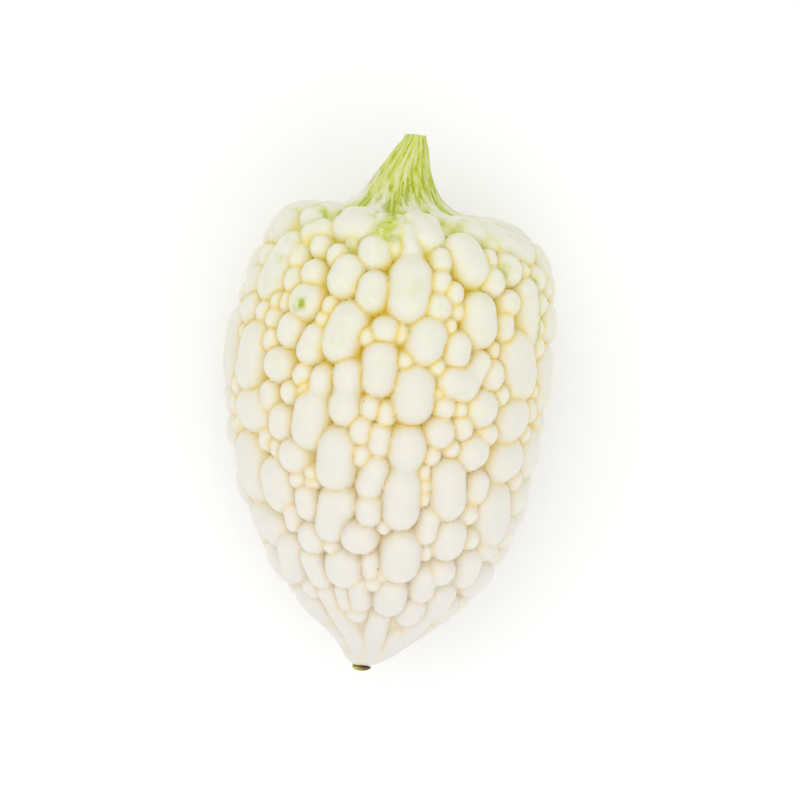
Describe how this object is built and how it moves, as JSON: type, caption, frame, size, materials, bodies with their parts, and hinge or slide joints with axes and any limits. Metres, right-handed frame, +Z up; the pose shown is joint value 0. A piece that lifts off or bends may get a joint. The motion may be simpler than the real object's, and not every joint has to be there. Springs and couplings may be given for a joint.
{
  "type": "bitter melon",
  "caption": "Short white bitter melon with a warty skin, a cut green stem and a dry blossom scar, lying on its side as picked.",
  "frame": {"origin": "on the surface that the melon lies on, under the middle of its box", "axes": "+Z up, +Y from the blossom scar towards the cut stem, +X to the right seen from above with the stem at the top"},
  "size_m": [0.0823, 0.1344, 0.0824],
  "materials": {
    "melon_skin": "waxy, softly glossy, faintly translucent",
    "stem_skin": "fresh green fibre, satin",
    "dry_scar": "dry and matt"
  },
  "bodies": {
    "root": {"fruit": "melon_skin", "stem": "stem_skin", "blossom_scar": "dry_scar"}
  },
  "joints": []
}
